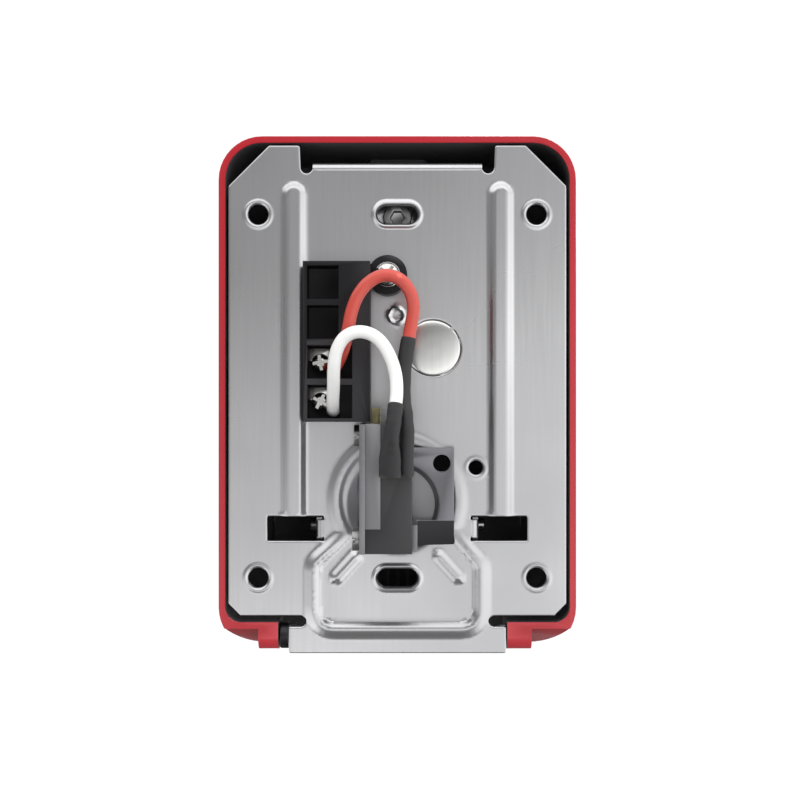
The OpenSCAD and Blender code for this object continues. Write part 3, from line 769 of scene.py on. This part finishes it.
def build_plate():
    """Sheet of even thickness over a height field, with rounded rims at every hole and edge."""
    loops = plate_loops()
    coords, heights, edges = [], [], []
    for loop, lip, sign in loops:
        for reach, share, own in COINED if lip else SHEARED:
            ring = offset_loop(loop, sign * reach) if reach else loop
            first, n = len(coords), len(ring)
            coords += ring
            heights += list(plate_height(ring) + share * lip + own)
            edges += [(first + i, first + (i + 1) % n) for i in range(n)]
    grid = grid_points(loops)
    coords += [tuple(p) for p in grid]
    heights += list(plate_height(grid))

    result = geometry.delaunay_2d_cdt([Vector(c) for c in coords], edges, [], 0, 1e-5)
    flat, triangles, origins = result[0], result[2], result[3]
    centres = np.array([sum((flat[i] for i in t), Vector((0, 0))) / 3 for t in triangles])
    triangles = [t for t, good in zip(triangles, on_sheet(loops, centres)) if good]
    places = np.array([tuple(p) for p in flat])
    rear = [heights[o[0]] if o else h for o, h in zip(origins, plate_height(places))]
    front = beads(places) - 1.1 * bowl(places) - SHEET
    n = len(flat)
    verts = [(p.x, y, p.y) for side in (rear, front) for p, y in zip(flat, side)]
    faces = [tuple(t) for t in triangles] + [tuple(n + i for i in reversed(t)) for t in triangles]
    sides = dict.fromkeys(pair for t in triangles for pair in zip(t, (*t[1:], t[0])))
    faces += [(b, a, n + a, n + b) for a, b in sides if (b, a) not in sides]
    used = sorted({i for f in faces for i in f})
    place = {old: new for new, old in enumerate(used)}
    faces = [tuple(place[i] for i in f) for f in faces]
    return make_object("back_plate_sheet", [verts[i] for i in used], faces, zinc, 40)


def bend_profile(start, reach, radius):
    """Outline of a strip that leaves the sheet, bends forward and runs on: (across, y) points."""
    outer, inner = [], []
    steps = 8
    small = radius - SHEET
    for k in range(steps + 1):
        a = math.radians(90 * k / steps)
        outer.append((start + radius * math.sin(a), -radius * (1 - math.cos(a))))
        inner.append((start + small * math.sin(a), -SHEET - small * (1 - math.cos(a))))
    outer.append((start + radius, -reach))
    inner.append((start + radius - SHEET, -reach))
    return [(start - 0.2, -0.03)] + outer + inner[::-1] + [(start - 0.2, -SHEET)]


def latch_flange():
    """The plate's top edge, folded forward, with the slot that the lock's cam turns into."""
    profile = [(y, z) for z, y in bend_profile(FOLD_Z - 1.55, 13, 1.55)]
    half = RELIEF_X - RELIEF_R
    flange = prism("latch_flange", profile, -half, half, zinc, "x")
    slot = prism("cutter", rounded_polygon(box_loop(-11, 11, 50, 56), 0.2), -10.6, -7.4, zinc)
    return cut(flange, [slot])


def pivot_ear(side):
    """One ear of the handle's pin, bent forward out of its window."""
    bend = 1.3
    profile = [(side * x, y) for x, y in bend_profile(EAR_ROOT, 10, bend)]
    neck = prism("ear", profile, PIVOT[2] - 1.93, PIVOT[2] + 1.93, zinc, "z")
    bottom, top = PIVOT[2] - 2.7, PIVOT[2] + 2.7
    head = [(-2.6, bottom, 0.5), (-2.6, top, 0.5), (-12.7, top, 2.6), (-12.7, bottom, 2.6)]
    low, high = sorted((side * (EAR_ROOT + bend - SHEET), side * (EAR_ROOT + bend)))
    return [neck, prism("ear_head", rounded_polygon(head, 0), low, high, zinc, "x")]


def hinge_lug(side):
    """Lug bent forward from the tab's end, which holds a hinge pin."""
    low, high = sorted((side * (TAB_HALF - SHEET), side * TAB_HALF))
    bottom, top = HINGE[2] - 2.2, HINGE[2] + 2.2
    outline = [(-0.6, bottom - 0.1, 0.3), (-0.6, top, 0.3), (-5.4, top, 2.1), (-5.4, bottom, 2.1)]
    return prism("lug", rounded_polygon(outline, 0), low, high, zinc, "x")


def rivet(x, z, r, y):
    """Low domed head on the plate's front face."""
    profile = [(0.01, y - 0.7), (r * 0.5, y - 0.62), (r * 0.85, y - 0.35), (r, y), (r, y + 0.3)]
    return lathe("rivet", profile, (x, z), bracket_steel, steps=28)


def add_plate():
    parts = [build_plate()]
    parts += [latch_flange()] + pivot_ear(1) + pivot_ear(-1) + [hinge_lug(1), hinge_lug(-1)]
    dress(even_shading(join(parts)), "back_plate")


def add_knockout():
    """Pierced slug, slightly domed and tipped, with a nick on each side."""
    x, z, _ = KNOCKOUT
    profile = [(0.01, 0.3), (2.5, 0.27), (4.6, 0.18), (5.8, 0.04), (6.2, -0.04), (6.35, -0.14), (6.4, -0.3),
               (6.4, -0.95), (6.2, -1.05), (0.01, -0.8)]
    disc = lathe("knockout_look", profile, (x, z), bright_zinc, steps=72)
    for v in disc.data.vertices:
        v.co.y += 0.028 * (v.co.x / MM - x) * MM - 0.02 * (v.co.z / MM - z) * MM
    nicks = []
    corners = ((5.9, -0.5), (6.75, -0.4), (6.75, 0.4), (5.9, 0.5))
    for a in (135, 250):
        c, s = math.cos(math.radians(a)), math.sin(math.radians(a))
        at = [(x + c * r - s * w, z + s * r + c * w) for r, w in corners]
        nicks.append(prism("nick", at, -0.85, -0.1, bright_zinc))
    dress(join([disc] + nicks), "knockout_disc")


# ---- terminal block and its screws ----

def screw_head(x, z, base, r, tall, recess, depth, turn):
    """Pan head with a rounded edge and a cross recess."""
    dome = ((0.35, 0.99), (0.62, 0.9), (0.84, 0.7), (0.96, 0.42), (1, 0.2), (1, 0))
    profile = [(0.01, base + tall)] + [(r * wide, base + tall * up) for wide, up in dome]
    head = lathe("screw", profile, (x, z), nickel, steps=44)
    arm = 0.2 * recess
    cutters = []
    for a in (turn, turn + math.pi / 2):
        c, s = math.cos(a), math.sin(a)
        at = [(x + c * u - s * v, z + s * u + c * v) for u, v in box_loop(-recess, recess, -arm, arm)]
        cutters.append(prism("cutter", at, base + tall - depth, base + tall + 1, nickel))
    cut(head, cutters)
    tidy_mesh(head.data, 30)
    return head


def add_terminals():
    softened("terminal_block", black, 0.28, 2)
    softened("terminal_clamps", nickel, 0.12, 2)
    low, high = cad_box("terminal_screws")
    x = (low[0] + high[0]) / 2
    seat = 5.2
    heads = []
    for k, z in enumerate((low[2] + 2, high[2] - 2)):
        heads.append(screw_head(x, z, seat, r=2.0, tall=2.1, recess=1.75, depth=0.9, turn=0.5 + 0.9 * k))
        heads.append(lathe("shank", [(1.38, seat), (1.38, 1.0)], (x, z), nickel, steps=28))
    dress(join(heads), "terminal_screws")
    low, high = cad_box("block_screw")
    x, z = (low[0] + high[0]) / 2, (low[2] + high[2]) / 2
    seat = 6.0
    washer = [(2.8, seat), (2.8, seat + 0.2), (2.72, seat + 0.28), (1.4, seat + 0.28)]
    parts = [screw_head(x, z, seat, r=2.7, tall=2.6, recess=2.1, depth=1.5, turn=0.62),
             lathe("washer", washer, (x, z), nickel, steps=44),
             lathe("shank", [(1.48, seat), (1.48, -2.2), (1.1, -2.9)], (x, z), nickel, steps=28)]
    dress(join(parts), "block_screw")


# ---- switch ----

def bend_lip(bracket):
    """Bends the bracket's lower lip towards the plate, its upper face more than its lower one."""
    bm = bmesh.new()
    bm.from_mesh(bracket.data)
    geom = bm.verts[:] + bm.edges[:] + bm.faces[:]
    bmesh.ops.bisect_plane(bm, geom=geom, plane_co=(0, 0, LIP_TOP * MM), plane_no=(0, 0, 1))
    bottom = min(v.co.z for v in bm.verts) / MM
    for v in bm.verts:
        if v.co.z / MM < LIP_TOP and v.co.x / MM < LIP_SIDE and v.co.y / MM < 2.5:
            fall = 1.9 if v.co.y / MM > 1.6 else 0.9
            v.co.y -= fall * MM * (LIP_TOP - v.co.z / MM) / (LIP_TOP - bottom)
    bm.to_mesh(bracket.data)
    bm.free()
    tidy_mesh(bracket.data, 38)


def add_rolled_edge(bracket):
    """Drawn edge around the bracket's large hole, turned down towards the plate."""
    edge = ((0.15, 2.17), (-0.25, 2.05), (-0.7, 1.7), (-1.05, 1.15), (-1.1, 0.9), (-0.6, 0.9), (0.15, 1.1))
    profile = [(BRACKET_HOLE_R + out, y) for out, y in edge]
    ring = lathe("edge", profile, DISH[:2], bracket_steel, steps=96, ring=True)
    flange = prism("cutter", box_loop(7.2, 20, -60, 20), -5, 5, bracket_steel)
    lip = prism("cutter", box_loop(-20, 20, -60, LIP_TOP - 0.1), -5, 5, bracket_steel)
    join([bracket, cut(ring, [flange, lip])], 38)


def add_switch():
    bracket = softened("switch_bracket", bracket_steel, 0.25, 3)
    bend_lip(bracket)
    add_rolled_edge(bracket)
    softened("switch_case", case_black, 0.3, 3)
    softened("switch_cover", grey, 0.25, 3)
    softened("switch_screws", spring_metal, 0.2, 2)
    softened("switch_terminals", brass, 0.1, 2)
    softened("switch_blade", spring_metal, 0.05, 1)
    softened("switch_contacts", silver, 0.1, 1)
    softened("switch_plunger", button_red, 0.15, 2)
    back = cad_box("bracket_rivets")[1][1]
    parts = [rivet(x, RIVET_Z, 1.5, -SHEET) for x in RIVET_X]
    shank = [(0.88, -SHEET - 0.1), (0.88, back)]
    parts += [lathe("shank", shank, (x, RIVET_Z), bracket_steel, steps=24) for x in RIVET_X]
    dress(join(parts), "bracket_rivets")


# ---- leads: the routes repeat those of the CAD source ----

LEAD_R = 1.4
LEAD_X = 14.35
TAB_TOP = -12.6
SLEEVE_END = -17.3
RED_ROUTE = [(LEAD_X, 4, 5.45), (LEAD_X, 7.6, 5.6), (13.2, 10, 7.2), (12.0, 12.4, 9.6), (11.1, 13.8, 12.4),
             (10.5, 14.2, 15.4), (9.8, 14.4, 18.6), (8.5, 14.6, 21.8), (6.4, 14.8, 24.4), (3.8, 15, 25.9),
             (1.3, 15, 26), (-1.1, 14.8, 24.8), (-2.9, 14.4, 22.2), (-3.5, 13.9, 19.2), (-3.1, 13.6, 15.9),
             (-2.5, 13.7, 12.6), (-1.8, 14.3, 8.2), (-1.3, 15.6, 3.4), (-1.3, 17.2, -1.0), (-1.8, 19.1, -4.5),
             (-2, 19.9, -8), (-1.9, 19.85, TAB_TOP)]
WHITE_ROUTE = [(LEAD_X, 4, -3.3), (14.3, 8, -3.1), (14.1, 12, -1.2), (13.8, 15, 2.2), (13.6, 17, 6),
               (13.0, 18, 9.5), (11.6, 18.5, 12.1), (9.6, 18.8, 13.4), (7.3, 18.9, 13.6), (5, 18.9, 12.8),
               (3, 18.9, 10.9), (1.4, 19.0, 8), (0.4, 19.4, 4.8), (0.1, 20.2, 1.5), (0.3, 21.3, -1.8),
               (0.7, 22.4, -5.2), (1.2, 22.6, -8.6), (1.5, 21.8, TAB_TOP)]


def add_lead(node, route, material):
    dress(tube(node + "_look", smooth_path(route, 7), LEAD_R, material, 32), node)


def add_sleeve(node, route, start, flat):
    """Shrink tube: grips the lead, flattens over the solder tab and wrinkles a little on the way."""
    end = route[-1]
    path = smooth_path(route[start:] + [(end[0], end[1], SLEEVE_END)], 8)

    def size(t):
        wrinkle = 0.05 * math.sin(23 * t) * math.sin(7 * t) + 0.03 * math.sin(47 * t + 1)
        spread = flat * float(ease((t - 0.45) / 0.4))
        lip = -0.1 if t < 0.02 or t > 0.985 else 0
        base = LEAD_R + 0.25 + wrinkle + lip
        return base + spread, base - 0.4 * spread

    dress(tube(node + "_look", path, size, shrink, 36, (1, 0, 0)), node)


def add_leads():
    add_lead("red_lead", RED_ROUTE, red_pvc)
    add_lead("white_lead", WHITE_ROUTE, white_pvc)
    add_sleeve("red_sleeve", RED_ROUTE, 15, 0.0)
    add_sleeve("white_sleeve", WHITE_ROUTE, 14, 0.7)


# ---- cover ----

def rect_ring(inset, y, r, bottom=None, low_r=None):
    """Closed ring of points on the cover's rounded outline, set in from it.

    The bottom edge may lie higher, and the two lower corners may have their own radius.
    """
    corner, straight = 10, 6
    half, top = COVER_HALF - inset, COVER_TOP - inset
    z0 = COVER_BOTTOM + inset if bottom is None else bottom
    q = r if low_r is None else low_r
    spots = [(half - r, top - r, 0, r), (-half + r, top - r, 90, r), (-half + q, z0 + q, 180, q),
             (half - q, z0 + q, 270, q)]
    arcs = []
    for x, z, first, own in spots:
        turns = [math.radians(first + 90 * i / corner) for i in range(corner + 1)]
        arcs.append([(x + own * math.cos(a), z + own * math.sin(a)) for a in turns])
    ring = []
    for arc, following in zip(arcs, arcs[1:] + arcs[:1]):
        (x, z), (to_x, to_z) = arc[-1], following[0]
        ring += arc
        ring += [(x + (to_x - x) * i / straight, z + (to_z - z) * i / straight) for i in range(1, straight)]
    return [(x, y, z) for x, z in ring]


def cover_shell():
    """Cast box: straight walls with a little draft, a rounded front edge and an inner skin."""
    outer, inner = [], []
    wall_end, wall_inset = -23.5, 0.45
    edge = ((0, 0.22), (-0.06, 0.1), (-0.2, 0.03), (-0.5, 0))
    for y, inset in (*edge, (-8, 0.1), (-16, 0.25), (wall_end, wall_inset)):
        outer.append(rect_ring(inset, y, COVER_CORNER - inset))
    for k in range(1, 8):
        a = math.radians(90 * k / 7)
        inset = wall_inset + 4.2 * (1 - math.cos(a))
        outer.append(rect_ring(inset, wall_end - 4.6 * math.sin(a), COVER_CORNER - inset * 0.8))
    outer.append(rect_ring(9, -28.35, 5))
    inner_edge = ((0, COVER_WALL - 0.12), (-0.1, COVER_WALL - 0.03), (-0.3, COVER_WALL))
    for y, inset in (*inner_edge, (-12, 1.75), (-23, 1.95), (-25.2, 2.6), (-26.2, 4.2)):
        bottom = COVER_BOTTOM + 6.6 + (inset - COVER_WALL)
        inner.append(rect_ring(inset, y, COVER_CORNER - inset, bottom, 3.5))
    rings = outer[::-1] + inner
    n = len(rings[0])
    verts = [p for ring in rings for p in ring]
    faces = [tuple(range(n)), tuple(range((len(rings) - 1) * n, len(rings) * n))]
    for k in range(len(rings) - 1):
        for i in range(n):
            j = (i + 1) % n
            faces.append((k * n + i, k * n + j, (k + 1) * n + j, (k + 1) * n + i))
    return make_object("front_cover_look", verts, faces, red_enamel)


def cover_cutters():
    """Handle opening, space between the feet, slanted ends of the rim, hinge side, lock and pin holes."""
    half = HANDLE_HIGH[0] + 0.25
    cutters = [prism("cutter", rounded_polygon(box_loop(-half, half, -40, 14.5), 1.2), -40, -20, red_enamel)]
    left, right = FOOT_LEFT[0], FOOT_RIGHT[1]
    chin = [(right, -70, 0), (left, -70, 0), (left, CHIN_TOP, 0.3), (right, CHIN_TOP, 0.3)]
    cutters.append(prism("cutter", rounded_polygon(chin, 0), CHIN_FRONT, 3, red_enamel))
    flare = [(3, -53.3), (-0.6, -53.3), (-1.4, -53.6), (-11, -58.9), (-11, -64), (3, -64)]
    for x0, x1 in ((FOOT_LEFT[1], 50), (-50, FOOT_RIGHT[0])):
        cutters.append(prism("cutter", flare, x0, x1, red_enamel, "x"))
    rounding = [(3, HINGE[2]), (0.0, HINGE[2])]
    for a in np.linspace(0, -math.pi / 2, 9)[1:]:
        rounding.append((HINGE[1] + FOOT_R * math.cos(a), HINGE[2] + FOOT_R * math.sin(a)))
    rounding += [(HINGE[1], -62), (3, -62)]
    cutters.append(prism("cutter", rounding, -33.5, 33.5, red_enamel, "x"))
    cutters.append(prism("cutter", circle_loop(0, LOCK_Z, 6.0, 48), -40, -10, red_enamel))
    for x0, x1 in ((left - 0.8, left + 3.6), (right - 3.6, right + 0.8)):
        cutters.append(lathe("cutter", [(1.25, x0), (1.25, x1)], (HINGE[1], HINGE[2]), red_enamel, "x", 28))
    return cutters


def cover_fittings():
    """Shapes cast on the cover: lock boss, raised bars and bands on the front, and inner ribs."""
    root = -27
    boss = [(0.01, root), (10.4, root), (10.3, -28.6), (9.9, -29.5), (9.3, -30), (0.01, -30)]
    parts = [lathe("boss", boss, (0, LOCK_Z), red_enamel, steps=64)]
    bar_r, band_r = 2.2, 0.9
    for x in (-34, 34):
        bar = rounded_polygon(box_loop(x - bar_r, x + bar_r, -38, 12), bar_r, 7)
        parts.append(bevelled(prism("bar", bar, -29.1, root, red_enamel), 0.5))
    for z in (22.5, 27.5):
        band = rounded_polygon(box_loop(-24, 24, z - band_r, z + band_r), band_r, 6)
        parts.append(bevelled(prism("band", band, -29.0, root, red_enamel), 0.4))
    for x in (-5, -2.5, 0, 2.5, 5):
        rib = [(x - 0.5, CHIN_TOP), (x + 0.5, CHIN_TOP), (x + 0.4, -42.5), (x - 0.4, -42.5)]
        parts.append(prism("rib", rib, -27.5, -24, red_enamel))
    return parts


def inner_boss():
    """Half-round boss inside the top, above the lock's nut."""
    profile = [(9.1, -26.8), (9.0, -19), (8.4, -18.1), (0.01, -18.0)]
    boss = lathe("inner_boss", profile, (0, 52), red_enamel, steps=64)
    cutters = [prism("cutter", circle_loop(0, LOCK_Z, 9.6, 48), -40, 0, red_enamel),
               prism("cutter", box_loop(-20, 20, 58.4, 70), -40, 0, red_enamel)]
    return cut(boss, cutters)


def add_cover():
    shell = cut(cover_shell(), cover_fittings(), "UNION")
    shell = cut(shell, cover_cutters())
    bevelled(shell, 0.3, 2, 40)
    dress(even_shading(join([shell, inner_boss()])), "front_cover")


# ---- handle and lock ----

def add_handle():
    softened("pull_handle", white_enamel, 0.7, 4, 50)
    softened("handle_pin", spring_metal, 0.3, 2)
    softened("pin_clips", spring_metal, 0.15, 2)
    softened("plate_hinge_pins", dark_pin, 0.3, 3)


def add_spring():
    """Torsion spring on the handle's pin: a leg on the plate, four turns and a leg on the handle."""
    turns, steps, r, pitch = 4, 28, 5.4, 1.05
    plate_leg = [(7.5, -1.75, -19), (7.5, -2.1, -21), (7.5, -2.6, -23.4)]
    coil = []
    for i in range(turns * steps + 1):
        a = 2 * math.pi * i / steps
        coil.append((7.6 + i * pitch / steps, PIVOT[1] + r * math.cos(a), PIVOT[2] - r * math.sin(a)))
    handle_leg = [(11.9, -4.4, -24), (12, -9, -17.5), (12, -23.3, -5)]
    path = [Vector(p) for p in plate_leg + coil + handle_leg]
    wire = tube("handle_spring_look", path, 0.45, spring_metal, 14, (1, 0, 0))
    dress(wire, "handle_spring")


def add_lock():
    softened("lock_barrel", nickel, 0.5, 4)
    softened("lock_nut", nickel, 0.3, 2)
    softened("lock_plug", nickel, 0.25, 3)
    softened("lock_cam", zinc, 0.2, 2)
    softened("cam_screw", spring_metal, 0.3, 3)


# ---- studio ----

def area_light(name, place, target, size, power, mirrored=False):
    """Soft light. The polished metal only reflects it when mirrored is set."""
    data = bpy.data.lights.new(name, "AREA")
    data.shape = "RECTANGLE"
    data.size, data.size_y = size
    data.energy = power
    lamp = bpy.data.objects.new(name, data)
    lamp.location = place
    lamp.rotation_euler = (Vector(target) - Vector(place)).to_track_quat("-Z", "Y").to_euler()
    lamp.visible_glossy = mirrored
    bpy.context.scene.collection.objects.link(lamp)


def studio_walls(n):
    """Brightness of the room by direction.

    The walls darken upwards and towards +X, under a ceiling light. Both sides have a soft wall light,
    and the floor in front and behind is dark.
    """
    x, _, z = n.axes(n.add("ShaderNodeTexCoord").outputs["Generated"])
    level = n.math("ADD", n.math("ADD", n.math("MULTIPLY", x, -1.3), n.math("MULTIPLY", z, -2.5)), 0.66)
    level = n.math("MINIMUM", n.math("MAXIMUM", level, 0.1), 1.3)
    level = n.math("ADD", level, n.math("MULTIPLY", n.step(z, 0.35, 0.5), 2.0))
    down = n.math("MULTIPLY", z, -1)
    beside = n.step(n.math("ABSOLUTE", x), 0.3, 0.6)
    right = n.step(n.math("MULTIPLY", x, -1), -0.6, 0.6)
    side_light = n.math("MULTIPLY", beside, n.math("ADD", n.math("MULTIPLY", right, 0.55), 0.2))
    low_left = n.math("MULTIPLY", n.step(down, 0.08, 0.15), n.step(x, 0.3, 0.6))
    side_light = n.math("MAXIMUM", side_light, n.math("MULTIPLY", low_left, 1.1))
    level = n.math("MAXIMUM", n.math("MINIMUM", level, 1.4), side_light)
    middle = n.math("SUBTRACT", 1, beside)
    floor = n.math("MULTIPLY", n.step(down, 0.3, 0.6), n.math("MULTIPLY", middle, 0.88))
    return n.math("MULTIPLY", level, n.math("SUBTRACT", 1, floor))


def add_world():
    """The room lights the object, and the camera sees plain white behind it."""
    world = bpy.data.worlds.new("studio")
    bpy.context.scene.world = world
    world.use_nodes = True
    n = Nodes(world.node_tree)
    seen = n.tree.nodes["Background"]
    seen.inputs["Color"].default_value = (1, 1, 1, 1)
    seen.inputs["Strength"].default_value = 1.05
    room = n.add("ShaderNodeBackground", Color=(1, 1, 1, 1))
    n.link(studio_walls(n), room.inputs["Strength"])
    mix = n.add("ShaderNodeMixShader")
    n.link(n.add("ShaderNodeLightPath").outputs["Is Camera Ray"], mix.inputs["Fac"])
    n.link(room.outputs["Background"], mix.inputs[1])
    n.link(seen.outputs["Background"], mix.inputs[2])
    n.link(mix.outputs["Shader"], n.tree.nodes["World Output"].inputs["Surface"])


def add_camera():
    """Straight on to the plate from the wall's side, and near enough for a mild perspective."""
    distance, field = 0.275, 0.1832
    data = bpy.data.cameras.new("camera")
    data.sensor_width = 36
    data.lens = data.sensor_width * distance / field
    data.clip_start = 0.01
    camera = bpy.data.objects.new("camera", data)
    camera.location = (-0.0006, distance, -0.0009)
    camera.rotation_euler = (math.radians(90), 0, math.radians(180))
    bpy.context.scene.collection.objects.link(camera)
    bpy.context.scene.camera = camera


def add_lights():
    area_light("key", (-0.25, 0.5, 0.1), (0, 0, 0), (0.3, 0.3), 0.9)
    area_light("above", (0.05, 0.2, 0.5), (0, 0, 0), (0.5, 0.2), 0.8)
    area_light("front", (-0.3, -0.6, 0.35), (0, 0, 0), (0.5, 0.5), 3.5, True)


bpy.context.scene.view_settings.view_transform = "Standard"
add_world()
add_camera()
add_lights()
add_plate()
add_knockout()
add_terminals()
add_switch()
add_leads()
add_cover()
add_handle()
add_spring()
add_lock()
